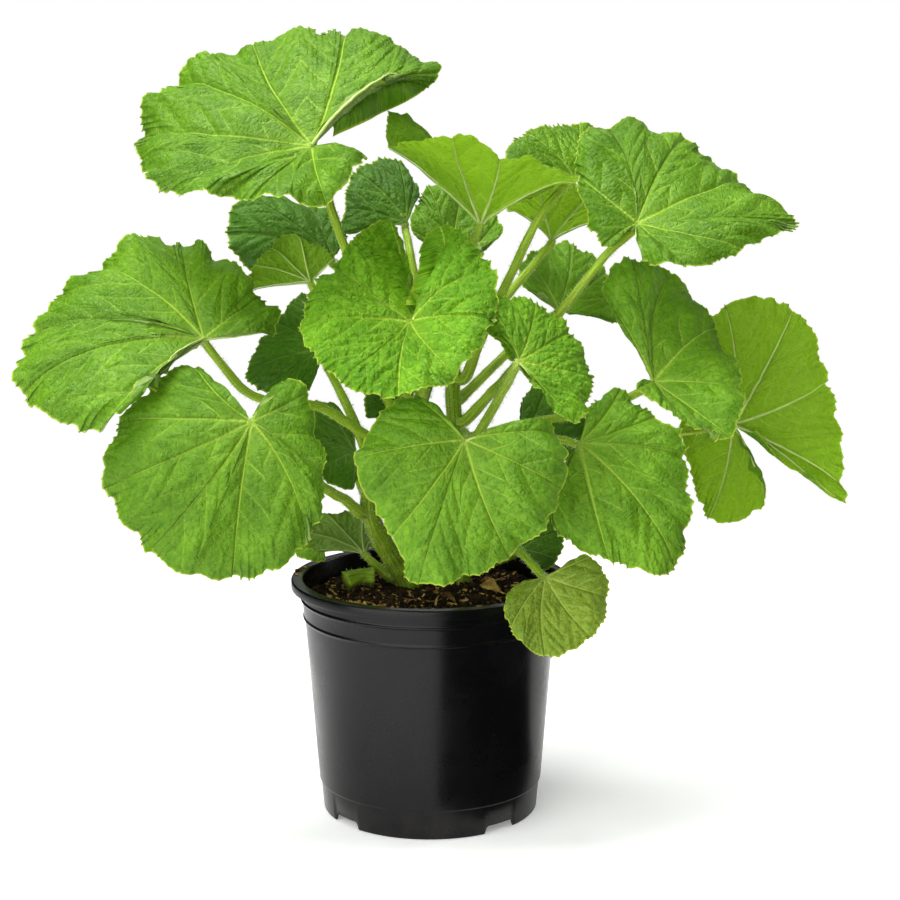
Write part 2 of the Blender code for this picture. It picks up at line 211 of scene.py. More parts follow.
# A fine grain that tilts the surface, for moulded plastic, crumbs and plant skin.
grain, takes, gives = new_group(
    "grain", {"Size": 0.001, "Depth": 0.0001}, {"Normal": "Vector", "Height": "Float"})
noise = put(grain, "TexNoise", {"Vector": object_place(grain), "Detail": 4.0, "Roughness": 0.65,
                                "Scale": sums(grain, "DIVIDE", 1.0, takes["Size"])})
bump = put(grain, "Bump", {"Strength": 1.0, "Distance": takes["Depth"], "Height": noise.outputs["Fac"]})
grain.links.new(bump.outputs["Normal"], gives["Normal"])
grain.links.new(noise.outputs["Fac"], gives["Height"])

pot_plastic, tree, shader = new_finish("black_pot_plastic", specular_ior_level=0.42, ior=1.5)
flow = use(tree, patches, {"Size": 0.045, "Speck Size": 0.0015, "Speck Share": 0.05})
dust = use(tree, patches, {"Size": 0.016, "Speck Size": 0.0007, "Speck Share": 0.10})
height = put(tree, "SeparateXYZ", {"Vector": object_place(tree)}).outputs["Z"]
low_dust = fade(tree, height, 0.03, 0.0, 0.0, 0.6)
lodged = sums(tree, "MULTIPLY", dust["Cloud"], low_dust)
dusty = sums(tree, "ADD", sums(tree, "MULTIPLY", dust["Speck"], 0.30), sums(tree, "MULTIPLY", lodged, 0.25))
plain = blend(tree, flow["Cloud"], (0.0042, 0.0044, 0.0050), (0.0075, 0.0076, 0.0082))
tree.links.new(blend(tree, dusty, plain, (0.10, 0.085, 0.065)), shader.inputs["Base Color"])
tree.links.new(fade(tree, flow["Cloud"], 0.0, 1.0, 0.22, 0.31), shader.inputs["Roughness"])
fine = use(tree, grain, {"Size": 0.0009, "Depth": 0.000035})
tree.links.new(fine["Normal"], shader.inputs["Normal"])


def wall_radius(height):
    """The outer radius of the tapered wall, carried up to the rim."""
    return FOOT_RADIUS + (LIP_RADIUS - LIP_REACH - FOOT_RADIUS) * height / POT_TOP


def rounded(corners, radius, steps=4):
    """A section through corners (radius, height), each turned with a small round."""
    found = [corners[0]]
    for before, corner, after in zip(corners, corners[1:], corners[2:]):
        before, corner, after = (np.array(p) for p in (before, corner, after))
        back, on = before - corner, after - corner
        reach = min(radius, 0.45 * np.hypot(*back), 0.45 * np.hypot(*on))
        start = corner + back * reach / np.hypot(*back)
        end = corner + on * reach / np.hypot(*on)
        for step in range(steps + 1):
            t = step / steps
            found.append((1 - t) ** 2 * start + 2 * t * (1 - t) * corner + t ** 2 * end)
    return np.array([*found, corners[-1]])


collar_base = POT_TOP - LOWER_RING_DROP
band_base = POT_TOP - UPPER_RING_DROP
lip_base = POT_TOP - LIP_DROP
floor_top = FLOOR_HEIGHT + FLOOR_THICK
section = rounded([
    (0.0, floor_top),
    (wall_radius(0.006) - WALL - 0.0012, floor_top),
    (wall_radius(collar_base) - WALL, collar_base),
    (wall_radius(collar_base) - WALL + 0.0006, collar_base + 0.001),
    (wall_radius(POT_TOP) - WALL + 0.0006, POT_TOP),
    (LIP_RADIUS, POT_TOP - 0.0002),
    (LIP_RADIUS, lip_base),
    (LIP_RADIUS - WALL, lip_base),
    (LIP_RADIUS - WALL, POT_TOP - WALL * 1.3),
    (wall_radius(lip_base) + 0.0012, POT_TOP - WALL * 1.3),
    (wall_radius(band_base) + 0.0012, band_base + 0.0016),
    (wall_radius(band_base) + 0.0020, band_base + 0.0006),
    (wall_radius(band_base) + 0.0006, band_base - 0.0006),
    (wall_radius(collar_base) + 0.0007, collar_base + 0.0016),
    (wall_radius(collar_base) + 0.0014, collar_base + 0.0006),
    (wall_radius(collar_base), collar_base - 0.0008),
    (wall_radius(FOOT_SKIRT), FOOT_SKIRT),
    (wall_radius(FOOT_SKIRT) - 0.0010, FOOT_SKIRT - 0.0007),
    (FOOT_RADIUS - FOOT_STEP, 0.0),
    (FOOT_RADIUS - FOOT_STEP - WALL, 0.0),
    (FOOT_RADIUS - FOOT_STEP - WALL * 1.1, FLOOR_HEIGHT),
    (0.0, FLOOR_HEIGHT),
], CORNER_ROUND)
turn = np.arange(POT_TURN) * math.tau / POT_TURN
off = (turn[:, None] - NOTCH_FIRST - np.arange(NOTCHES) * math.tau / NOTCHES + math.pi) % math.tau - math.pi
beside = np.abs(off).min(axis=1) * FOOT_RADIUS
lift = NOTCH_RISE * np.clip((NOTCH_HALF - beside) / NOTCH_SLOPE, 0, 1)
radius, rise = section[:, 0][:, None], section[:, 1][:, None]
low = np.clip(1 - rise / FLOOR_HEIGHT, 0, 1)
points = np.stack([radius * np.cos(turn), radius * np.sin(turn), rise + lift * low], -1)
shape("nursery_pot", points.reshape(-1, 3), [grid_faces(len(section), POT_TURN, True)],
      [pot_plastic], ["pot"])

# --- Soil ------------------------------------------------------------------------
# The mix is composted bark and peat, nearly black when damp, pressed down around the
# stems. Its top is loose crumbs, torn slivers of bark and white grit.

SOIL_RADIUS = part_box("soil")[1].x
SOIL_DROP = 0.011  # from the top of the lip
SOIL_TOP = POT_TOP - SOIL_DROP
SOIL_ROWS = 90
SOIL_TURN = 240
SOIL_EDGE = 0.006  # how deep its side is made
CRUMBS = 4200
DARK_SLIVERS = CRUMBS // 3
BARK_SLIVERS = 520
LEFT_SLIVERS = 300
LEFT_HEAP = (-0.056, -0.040, 0)  # at the left of the main stem
FRONT_SLIVERS = 170
FRONT_HEAP = (-0.022, -0.062, 0)
GRIT = 180
ON_CRUMBS = 0.0008  # how far the slivers lie above the soil, on its crumbs


def waves(points, length, seed, count=9):
    """A smooth uneven field over points, from about -1 to 1, with humps about length across."""
    draw = np.random.default_rng(seed)
    total = np.zeros(len(points))
    for _ in range(count):
        way = draw.normal(size=3)
        way *= math.tau / (np.linalg.norm(way) * length * draw.uniform(0.7, 1.6))
        total += np.sin(points @ way + draw.uniform(0, math.tau))
    return total / math.sqrt(count)


def soil_level(points):
    """The height of the soil's top under points."""
    flat = points * [1, 1, 0]
    rise = 0.0009 * waves(flat, 0.035, 3) + 0.0006 * waves(flat, 0.012, 4) + 0.0004 * waves(flat, 0.005, 5)
    edge = np.clip(np.linalg.norm(flat, axis=1) / SOIL_RADIUS, 0, 1) ** 8
    return SOIL_TOP + rise - 0.002 * edge


def soil_finish(name, dark, light, speck):
    material, tree, shader = new_finish(name, specular_ior_level=0.25)
    crumb = use(tree, patches, {"Size": 0.006, "Speck Size": 0.0016, "Speck Share": 0.16})
    colour = blend(tree, crumb["Cloud"], dark, light)
    tree.links.new(blend(tree, crumb["Speck"], colour, speck), shader.inputs["Base Color"])
    tree.links.new(fade(tree, crumb["Cloud"], 0.0, 1.0, 0.75, 0.97), shader.inputs["Roughness"])
    rough = use(tree, grain, {"Size": 0.0011, "Depth": 0.0006})
    tree.links.new(rough["Normal"], shader.inputs["Normal"])
    return material


damp_soil = soil_finish("damp_soil", (0.014, 0.009, 0.006), (0.050, 0.030, 0.018), (0.16, 0.09, 0.04))
dark_bark = soil_finish("dark_bark", (0.040, 0.020, 0.010), (0.13, 0.070, 0.030), (0.22, 0.13, 0.06))
tan_bark = soil_finish("tan_bark", (0.30, 0.15, 0.045), (0.92, 0.60, 0.24), (0.16, 0.07, 0.02))
pale_grit = soil_finish("pale_grit", (0.42, 0.40, 0.36), (0.70, 0.68, 0.63), (0.25, 0.22, 0.18))

draw = np.random.default_rng(11)
ring = np.linspace(0.02, 1.0, SOIL_ROWS)[:, None] * SOIL_RADIUS
turn = np.arange(SOIL_TURN)[None, :] * math.tau / SOIL_TURN
top = np.stack([ring * np.cos(turn), ring * np.sin(turn), 0 * ring * turn], -1).reshape(-1, 3)
top[:, 2] = soil_level(top)
centre = np.array([[0, 0, SOIL_TOP]])
side = top[-SOIL_TURN:] * [0.985, 0.985, 1] - [0, 0, SOIL_EDGE]
plug_points = [top, side, centre]
hub = len(top) + len(side)
first = np.arange(SOIL_TURN)
plug_faces = grid_faces(SOIL_ROWS + 1, SOIL_TURN, True)
hub_faces = np.stack([np.full(SOIL_TURN, hub), first, (first + 1) % SOIL_TURN], -1)

BRICK = np.array([[x, y, z] for z in (-1, 1) for x, y in ((-1, -1), (1, -1), (1, 1), (-1, 1))], float)
BRICK_FACES = np.array([[3, 2, 1, 0], [4, 5, 6, 7], [0, 1, 5, 4], [1, 2, 6, 5], [2, 3, 7, 6], [3, 0, 4, 7]])


def turned(draw, count, tip=1.0):
    """count random turns, as matrices; a tip below 1 keeps pieces nearly flat."""
    spin = draw.uniform(0, math.tau, count)
    lean = draw.normal(0, 0.5, (count, 2)) * tip
    zero, one = np.zeros(count), np.ones(count)
    about = np.array([[np.cos(spin), -np.sin(spin), zero], [np.sin(spin), np.cos(spin), zero],
                      [zero, zero, one]]).transpose(2, 0, 1)
    c, s = np.cos(lean), np.sin(lean)
    pitch = np.array([[one, zero, zero], [zero, c[:, 0], -s[:, 0]],
                      [zero, s[:, 0], c[:, 0]]]).transpose(2, 0, 1)
    roll = np.array([[c[:, 1], zero, s[:, 1]], [zero, one, zero],
                     [-s[:, 1], zero, c[:, 1]]]).transpose(2, 0, 1)
    return about @ pitch @ roll


def scattered(draw, count, half, spread, tip, near=None, lift=0.0):
    """count rough six-sided bits, lying lift above the soil; half is their half size."""
    if near is None:
        reach = SOIL_RADIUS * 0.96 * np.sqrt(draw.uniform(0, 1, count))
        way = draw.uniform(0, math.tau, count)
        spots = np.stack([reach * np.cos(way), reach * np.sin(way), 0 * way], -1)
    else:
        spots = draw.normal(near, [0.011, 0.011, 0], (count, 3))
        spots *= np.minimum(1, SOIL_RADIUS * 0.90 / np.linalg.norm(spots, axis=1))[:, None]
    spots[:, 2] = soil_level(spots)
    sizes = draw.uniform(*half, (count, 3)) * spread
    spots[:, 2] += sizes[:, 2] * draw.uniform(0.1, 1.0, count) + lift
    bits = BRICK * draw.uniform(0.45, 1.0, (count, 8, 3)) * sizes[:, None, :]
    bits = np.einsum("nij,nkj->nki", turned(draw, count, tip), bits) + spots[:, None, :]
    faces = BRICK_FACES + 8 * np.arange(count)[:, None, None]
    return bits.reshape(-1, 3), faces.reshape(-1, 4)


bits = [
    (0, scattered(draw, CRUMBS, (0.0006, 0.0021), [1, 1, 0.8], 1.0)),
    (1, scattered(draw, DARK_SLIVERS, (0.0007, 0.0026), [1.5, 0.8, 0.5], 0.8)),
    (2, scattered(draw, BARK_SLIVERS, (0.0008, 0.0022), [2.6, 0.7, 0.35], 0.5, None, ON_CRUMBS)),
    (2, scattered(draw, LEFT_SLIVERS, (0.0008, 0.0024), [3.0, 0.8, 0.35], 0.6, LEFT_HEAP, ON_CRUMBS)),
    (2, scattered(draw, FRONT_SLIVERS, (0.0007, 0.0020), [2.6, 0.8, 0.4], 0.6, FRONT_HEAP, ON_CRUMBS)),
    (3, scattered(draw, GRIT, (0.0004, 0.0010), [1, 1, 1], 1.0)),
]
faces, kinds, count = [plug_faces], [np.zeros(len(plug_faces))], hub + 1
for kind, (bit_points, bit_faces) in bits:
    plug_points.append(bit_points)
    faces.append(bit_faces + count)
    kinds.append(np.full(len(bit_faces), kind))
    count += len(bit_points)
faces.append(hub_faces)
kinds.append(np.zeros(SOIL_TURN))
shape("soil_top", np.concatenate(plug_points), faces, [damp_soil, dark_bark, tan_bark, pale_grit],
      ["soil"], np.concatenate(kinds), smooth=False)

# --- Stems -----------------------------------------------------------------------
# Two vine stems rise from the soil. They are soft, ridged and full of water, pale green
# with still paler ridges, and stiff white bristles stand all over them.

STEM_SIDES = 30
BRISTLE_LENGTH = 0.0017
BRISTLE_WIDTH = 0.00014
BRISTLE_SUNK = 0.0002  # how far its foot is in the skin
STEM_BRISTLES = 2600
STEM_RIDGES = 5
STEM_STRETCHES = 8  # between two points of a stem's line


def welded(node):
    """A CAD node's points, each once, and its triangles."""
    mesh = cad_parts[node].data
    points = np.empty(len(mesh.vertices) * 3)
    mesh.vertices.foreach_get("co", points)
    mesh.calc_loop_triangles()
    triangles = np.empty(len(mesh.loop_triangles) * 3, np.int32)
    mesh.loop_triangles.foreach_get("vertices", triangles)
    _, first, index = np.unique(np.round(points.reshape(-1, 3), 6), axis=0,
                                return_index=True, return_inverse=True)
    triangles = index.reshape(-1)[triangles].reshape(-1, 3)
    return points.reshape(-1, 3)[first], triangles


def middle_line(node, start):
    """The middle line of a CAD tube and its radius at each point, from the end nearer start."""
    points, triangles = welded(node)
    joined = [set() for _ in points]
    for a, b, c in triangles:
        joined[a] |= {b, c}
        joined[b] |= {a, c}
        joined[c] |= {a, b}
    sides = 8 if "stem" in node or "stub" in node else 6
    far = np.argsort(np.linalg.norm(points - np.array(start), axis=1))
    rings, seen, ring = [], set(), set(far[:sides].tolist())
    while ring:
        rings.append(sorted(ring))
        seen |= ring
        ring = {n for v in ring for n in joined[v]} - seen
    if any(len(ring) != sides for ring in rings):
        rings = [far[:sides], far[-sides:]]
    middles = np.array([points[ring].mean(axis=0) for ring in rings])
    radii = [np.linalg.norm(points[ring] - middle, axis=1).mean()
             for ring, middle in zip(rings, middles)]
    return middles, np.array(radii)


def through(points, steps):
    """A smooth curve through points, with steps stretches between each two."""
    ends = np.vstack([2 * points[0] - points[1], points, 2 * points[-1] - points[-2]])
    t = (np.arange(steps) / steps)[:, None]
    curve = [
        0.5 * (2 * b + (c - a) * t + (2 * a - 5 * b + 4 * c - d) * t ** 2 + (3 * b - a - 3 * c + d) * t ** 3)
        for a, b, c, d in zip(ends, ends[1:], ends[2:], ends[3:])
    ]
    return np.vstack([*curve, points[-1:]])


def unit(vectors):
    return vectors / np.maximum(np.linalg.norm(vectors, axis=-1, keepdims=True), 1e-12)


def carried(line):
    """Two directions across the line at each of its points, carried along without twisting."""
    along = unit(np.gradient(line, axis=0))
    across = [unit(np.cross(along[0], [0.3, 0.1, 1.0]))]
    for way in along[1:]:
        across.append(unit(across[-1] - way * (across[-1] @ way)))
    across = np.array(across)
    return across, np.cross(along, across)


def skin_tube(line, radii, sides, ridges, depth, seed):
    """A ridged tube round a line: its grid of points and the outward direction at each."""
    draw = np.random.default_rng(seed)
    across, up = carried(line)
    turn = np.arange(sides) * math.tau / sides
    out = np.cos(turn)[None, :, None] * across[:, None] + np.sin(turn)[None, :, None] * up[:, None]
    ridge = np.cos(ridges * turn + draw.uniform(0, math.tau)) + 0.4 * np.cos((2 * ridges + 1) * turn)
    swell = radii[:, None] * (1 + depth * ridge[None, :])
    points = line[:, None] + out * swell[..., None]
    wobble = waves(points.reshape(-1, 3), 0.009, seed).reshape(swell.shape)
    return points + out * (0.05 * radii[:, None] * wobble)[..., None], out


def bristles(draw, points, out, count):
    """Thin three-sided hairs standing on a grid of points, and their faces."""
    flat_points, flat_out = points.reshape(-1, 3), unit(out.reshape(-1, 3))
    pick = draw.integers(0, len(flat_points), count)
    root = flat_points[pick] + draw.normal(0, 0.0003, (count, 3))
    way = unit(flat_out[pick] + draw.normal(0, 0.35, (count, 3)))
    root = root - way * BRISTLE_SUNK
    side = unit(np.cross(way, draw.normal(size=(count, 3))))
    other = np.cross(way, side)
    reach = BRISTLE_LENGTH * draw.uniform(0.4, 1.5, (count, 1))
    corners = [root + BRISTLE_WIDTH * (math.cos(a) * side + math.sin(a) * other) for a in (0, 2.1, 4.2)]
    hairs = np.stack([*corners, root + way * reach], 1).reshape(-1, 3)
    faces = np.array([[0, 1, 3], [1, 2, 3], [2, 0, 3]]) + 4 * np.arange(count)[:, None, None]
    return hairs, faces.reshape(-1, 3)


def stem_finish(name, green, ridge, bruise):
    material, tree, shader = new_finish(
        name, specular_ior_level=0.4, subsurface_weight=0.12, subsurface_scale=0.003,
        sheen_weight=0.05, sheen_roughness=0.5)
    around = put(tree, "Attribute", attribute_name="skin").outputs["Vector"]
    parts = put(tree, "SeparateXYZ", {"Vector": around}).outputs
    line = sums(tree, "SINE", sums(tree, "MULTIPLY", parts["X"], math.tau * 9))
    stretched = put(tree, "CombineXYZ", {"X": sums(tree, "MULTIPLY", parts["X"], 14.0),
                                         "Y": sums(tree, "MULTIPLY", parts["Y"], 60.0)})
    streak = put(tree, "TexNoise", {"Vector": stretched.outputs["Vector"], "Scale": 1.0, "Detail": 4.0})
    mark = use(tree, patches, {"Size": 0.012, "Speck Size": 0.0014, "Speck Share": 0.22})
    body = blend(tree, fade(tree, streak.outputs["Fac"], 0.35, 0.65), green, ridge)
    body = blend(tree, fade(tree, line, 0.2, 1.0, 0.0, 0.55), body, ridge)
    body = blend(tree, sums(tree, "MULTIPLY", mark["Speck"], 0.35), body, (0.50, 0.64, 0.20))
    body = blend(tree, sums(tree, "MULTIPLY", mark["Cloud"], 0.22), body, bruise)
    tree.links.new(body, shader.inputs["Base Color"])
    tree.links.new(fade(tree, mark["Cloud"], 0.0, 1.0, 0.42, 0.60), shader.inputs["Roughness"])
    skin = use(tree, grain, {"Size": 0.0007, "Depth": 0.00012})
    tree.links.new(skin["Normal"], shader.inputs["Normal"])
    return material


stem_skin = stem_finish("stem_skin", (0.175, 0.285, 0.010), (0.36, 0.52, 0.04), (0.24, 0.22, 0.03))
stalk_skin = stem_finish("stalk_skin", (0.22, 0.37, 0.012), (0.46, 0.62, 0.06), (0.30, 0.36, 0.04))
bristle_white, tree, shader = new_finish("bristle_white", roughness=0.45)
tint = use(tree, patches, {"Size": 0.01, "Speck Size": 0.002, "Speck Share": 0.1})
tree.links.new(blend(tree, tint["Cloud"], (0.62, 0.72, 0.38), (0.84, 0.88, 0.62)),
               shader.inputs["Base Color"])


def tube_piece(name, line, radii, depth, hairs, material, node, seed, sides=STEM_SIDES):
    """A ridged, bristly tube with closed ends, in place of one node of the frame."""
    draw = np.random.default_rng(seed)
    points, out = skin_tube(line, radii, sides, STEM_RIDGES, depth, seed)
    rows = len(line)
    skin = points.reshape(-1, 3)
    caps = np.array([line[0], line[-1]])
    faces = grid_faces(rows, sides, True)[:, ::-1]
    first = np.arange(sides)
    start_cap = np.stack([np.full(sides, len(skin)), first, (first + 1) % sides], -1)[:, ::-1]
    end_ring = (rows - 1) * sides + first
    end_after = (rows - 1) * sides + (first + 1) % sides
    end_cap = np.stack([np.full(sides, len(skin) + 1), end_ring, end_after], -1)
    hair_points, hair_faces = bristles(draw, points[2:-1], out[2:-1], hairs)
    caps_count = len(skin) + 2
    all_faces = [faces, start_cap, end_cap, hair_faces + caps_count]
    kinds = np.concatenate([np.zeros(len(faces) + 2 * sides), np.ones(len(hair_faces))])
    piece = shape(name, np.vstack([skin, caps, hair_points]), all_faces, [material, bristle_white],
                  [node], kinds)
    length = np.concatenate([[0], np.cumsum(np.linalg.norm(np.diff(line, axis=0), axis=1))])
    row, column = np.divmod(np.arange(len(skin)), sides)
    values = np.zeros((caps_count + len(hair_points), 3))
    values[:len(skin), 0] = np.abs((column / sides) * 2 - 1)
    values[:len(skin), 1] = length[row]
    piece.data.attributes.new("skin", "FLOAT_VECTOR", "POINT").data.foreach_set("vector", values.ravel())


def fitted(line, radii, steps):
    """The line and its radii made smooth, with steps stretches between its points."""
    smooth = through(np.column_stack([line, radii]), steps)
    return smooth[:, :3], smooth[:, 3]


stem_lines = {}
for number, stem in enumerate(("main", "second")):
    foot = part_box(f"stem_{stem}")[0]
    middles, radii = middle_line(f"stem_{stem}", (foot.x, foot.y, foot.z - 0.3))
    buried = middles[0] + (middles[0] - middles[1]) * 0.8
    middles = np.vstack([buried, middles])
    radii = np.concatenate([[radii[0] * 1.1], radii])
    line, radii = fitted(middles, radii, STEM_STRETCHES)
    stem_lines[stem] = line
    tube_piece(f"vine_stem_{stem}", line, radii, 0.05, STEM_BRISTLES, stem_skin, f"stem_{stem}", 40 + number)

# --- Stalk stub ------------------------------------------------------------------
# The first leaf was cut off, and the foot of its stalk lies on the soil. It is a short
# green tube, deeply ridged where it has shrunk, narrow in its middle and cut square.

stub_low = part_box("stalk_stub")[0]
middles, radii = middle_line("stalk_stub", (stub_low.x - 0.1, 0, stub_low.z))
line, radii = fitted(np.array([middles[0], middles[:2].mean(axis=0) + [0, 0.001, 0.0012], middles[-1]]),
                     np.array([radii[0] * 1.02, radii[0] * 0.80, radii[-1] * 0.98]), STEM_STRETCHES)
tube_piece("cut_stub", line, radii, 0.14, 160, stem_skin, "stalk_stub", 50)

# --- Dead scraps ------------------------------------------------------------------
# The two seed leaves and a few leaf tips have dried up and dropped. They lie on the soil
# as brown, brittle ribbons that have curled up, and three small bits are on the rim.

SCRAP_ROWS, SCRAP_SIDES = 30, 12
SCRAP_HALF_THICK = 0.00022
dry_scrap = soil_finish("dry_scrap", (0.30, 0.17, 0.045), (0.66, 0.46, 0.18), (0.16, 0.07, 0.02))
SOIL_REST = SOIL_TOP - 0.0006
RIM_REST = POT_TOP - 0.0008
SCRAPS = [  # its spot, what it rests on, its length and half width, its curl, lean and turn
    ((0.008, -0.026), SOIL_REST, 0.020, 0.0030, 3.1, 0.95, 0.5),
    ((0.036, 0.002), SOIL_REST, 0.024, 0.0034, 2.7, 1.05, 2.2),
    ((-0.019, -0.052), SOIL_REST, 0.013, 0.0015, 2.8, 0.50, 1.2),
    ((0.047, -0.036), SOIL_REST, 0.014, 0.0016, 3.2, 0.70, -0.6),
    ((-0.0800, 0.012), RIM_REST, 0.007, 0.0009, 2.2, 0.40, 0.7),
    ((-0.0798, 0.002), RIM_REST, 0.004, 0.0008, 1.8, 0.30, 2.0),
    ((-0.0770, 0.020), RIM_REST, 0.005, 0.0008, 2.0, 0.35, 0.1),
]
points, faces = [], []
along = np.linspace(-0.5, 0.5, SCRAP_ROWS)[:, None]
around = np.arange(SCRAP_SIDES)[None, :] * math.tau / SCRAP_SIDES
for number, (spot, rest, length, half_width, curl, lean, turn) in enumerate(SCRAPS):
    angle = along * curl
    radius = length / curl * (1 + 0.5 * along) + SCRAP_HALF_THICK * np.sin(around)
    width = half_width * np.sqrt(1.02 - (2 * along) ** 2) * np.cos(around)
    width = width * (1 + 0.25 * np.sin(9 * along + number))
    ribbon = np.stack([radius * np.sin(angle), radius * np.cos(angle), width], -1).reshape(-1, 3)
    ribbon += 0.10 * half_width * waves(ribbon, 0.003, number)[:, None]
    leaning = Matrix.Rotation(turn, 3, "Z") @ Matrix.Rotation(lean, 3, "X")
    ribbon = ribbon @ np.array(leaning).T
    ribbon -= [*ribbon[:, :2].mean(axis=0), ribbon[:, 2].min()]
    first = len(points) * len(ribbon)
    points.append(ribbon + [*spot, rest])
    end = np.arange(SCRAP_SIDES)[None, :]
    last = end + len(ribbon) - SCRAP_SIDES
    faces += [grid_faces(SCRAP_ROWS, SCRAP_SIDES, True) + first, end + first, last[:, ::-1] + first]
shape("dead_scraps", np.concatenate(points), faces, [dry_scrap], ["soil"])

# --- Leaf stalks -----------------------------------------------------------------
# Each blade stands on its own stalk. A stalk is a soft, ridged tube that swells where it
# leaves the stem and ends where the blade's veins meet. It bristles all over.

BLADE_THICKNESS = 0.001  # of the frame's solid blades
STALK_SIDES = 24
STALK_STEP = 0.0016
STALK_BRISTLES = 7000  # to a metre of stalk
LEAVES = sorted(int(node[5:7]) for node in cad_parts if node.endswith("_blade"))


def blade_of(number):
    """A blade's root, the tips of its spokes from there, its upward direction and its bow."""
    points, triangles = welded(f"leaf_{number:02}_blade")
    stalk, _ = welded(f"leaf_{number:02}_stalk")
    edges = np.concatenate([triangles[:, [0, 1]], triangles[:, [1, 2]], triangles[:, [2, 0]]])
    lengths = np.linalg.norm(points[edges[:, 0]] - points[edges[:, 1]], axis=1).reshape(3, -1)
    flat = triangles[(np.abs(lengths - BLADE_THICKNESS) > 2e-6).all(axis=0)]
    label = np.arange(len(points))
    for _ in range(len(points)):
        least = label[flat].min(axis=1)
        before = label.copy()
        np.minimum.at(label, flat.ravel(), np.repeat(least, 3))
        if (label == before).all():
            break
    sheets = []
    for mark in np.unique(label[flat]):
        faces = flat[label[flat[:, 0]] == mark]
        used, counts = np.unique(faces, return_counts=True)
        root = used[counts.argmax()]
        near = np.linalg.norm(stalk - points[root], axis=1).min()
        sheets.append((near, len(faces), root, faces))
    sheets = sorted(sheets, key=lambda sheet: -sheet[1])[:2]
    _, _, root, faces = max(sheets, key=lambda sheet: sheet[0])
    ways = {(a, b) for face in faces for a, b in zip(face, np.roll(face, -1))}
    after = {a: b for a, b in ways if (b, a) not in ways}
    loop = [root]
    while after[loop[-1]] != root:
        loop.append(after[loop[-1]])
    spokes = points[loop[4:-3]] - points[root]
    bow = points[loop[2]] - (points[root] + spokes[0] / 2)
    return points[root], spokes, unit(bow), np.linalg.norm(bow) / np.linalg.norm(spokes[0])


blades = {number: blade_of(number) for number in LEAVES}
for number in LEAVES:
    root, spokes, up, _ = blades[number]
    node = f"leaf_{number:02}_stalk"
    middles, radii = middle_line(node, root)
    middles, radii = middles[::-1], radii[::-1]
    stem = min(stem_lines.values(), key=lambda line: np.linalg.norm(line - middles[0], axis=1).min())
    joint = stem[np.linalg.norm(stem - middles[0], axis=1).argmin()]
    line = np.vstack([joint, middles, root - up * 0.0004])
    radii = np.concatenate([[radii[0] * 1.45], radii, [radii[-1] * 0.8]])
    radii[1] *= 1.2
    steps = max(3, int(np.linalg.norm(np.diff(line, axis=0), axis=1).sum() / STALK_STEP / len(line)))
    line, radii = fitted(line, radii, steps)
    length = np.linalg.norm(np.diff(line, axis=0), axis=1).sum()
    tube_piece(f"stalk_{number:02}", line, radii, 0.06, int(length * STALK_BRISTLES), stalk_skin, node,
               60 + number, STALK_SIDES)

# --- Blades ----------------------------------------------------------------------
# A blade is one thin soft sheet with four to nine main veins that spread from its root,
# side veins that branch off them, and a net between. The veins are sunk above and stand
# out below, the green between them puffs up, and small yellow teeth line the edge.

VEIN_ANGLE = math.radians(40)
VEIN_BEND = 4.0  # how fast side veins turn towards the tip, per metre out
EDGE_STEP = 0.0007
EDGE_STRETCHES = 60  # of the smooth edge between two vein tips
ROW_STEP = 0.0013
TOOTH_PITCH = 0.0048
TOOTH_REACH = 0.0021
LOBULE_REACH = 0.0026
ROLL = 0.0035  # how far the edge rolls down
WHOLE_BLADE = 0.09  # the reach of a full grown blade, which the values above are for
INNER_STRETCH = 1.08  # the inner blades are drawn out past the frame's
VEIN_GROOVE = 0.00045  # how deep a main vein is sunk
GROOVE_WIDTH = 0.0008
RIB_RADIUS = 0.00115
RIB_SIDES = 8
RIB_GAP = 0.00015
RIB_REACH = 14  # how many columns to either side set the way a rib lies
OUTER = (1, 2, 3, 4, 5, 6, 7, 8, 13, 14, 15)  # the blades that stand clear of the rest
NOTCH_BEND_WIDTH = 0.42  # how far round the blade the bend at its notch reaches, in radians
# How far the two sides of a blade's notch are bent halfway along, in mm.
EDGE_BENDS = {1: ((0, 0, 10), (0, 0, 0)), 4: ((3, 30, -12), (10, 14, -2)), 6: ((0, 12, -5), (0, 12, -5))}
YOUNG = (4, 6)  # still crinkled, and paler
BRIGHT = (9, 14, 17, 11)
# Painted shade: the inner leaves get a darker copy of the leaf green, for the shade they lie in.
SHADED_INNER = (16, 18, 20, 21, 22, 23, 25, 27)  # inner leaves, darker
OLD = (15,)  # turning olive
# Painted light: these lower leaves get a lighter copy of the leaf green.
PAINTED_LIT = (5, 7, 13)  # lighter than most

leaf_net, takes, gives = new_group(
    "leaf_net", {"Main Width": 0.4, "Side Width": 0.22},
    {"Vein": "Float", "Halo": "Float", "Net": "Float", "Cell": "Float", "Painted Crease Shade": "Float", "Edge": "Float",
     "Height": "Float"})
veins = put(leaf_net, "Attribute", attribute_name="veins").outputs["Vector"]
parts = put(leaf_net, "SeparateXYZ", {"Vector": veins}).outputs
forks = put(leaf_net, "Attribute", attribute_name="forks").outputs["Vector"]
more = put(leaf_net, "SeparateXYZ", {"Vector": forks}).outputs
taper = sums(leaf_net, "SUBTRACT", 1.2, parts["Z"])
main_width = sums(leaf_net, "MULTIPLY", takes["Main Width"], taper)
main_vein = fade(leaf_net, sums(leaf_net, "DIVIDE", parts["X"], main_width), 1.4, 0.6)
side_width = sums(leaf_net, "MULTIPLY", takes["Side Width"], sums(leaf_net, "ADD", taper, 0.35))
side_vein = fade(leaf_net, sums(leaf_net, "DIVIDE", parts["Y"], side_width), 1.5, 0.4, 0.0, 0.55)
fork_vein = fade(leaf_net, sums(leaf_net, "DIVIDE", more["X"], side_width), 1.3, 0.3, 0.0, 0.40)
vein = sums(leaf_net, "MAXIMUM", sums(leaf_net, "MAXIMUM", main_vein, side_vein), fork_vein)
leaf_net.links.new(vein, gives["Vein"])
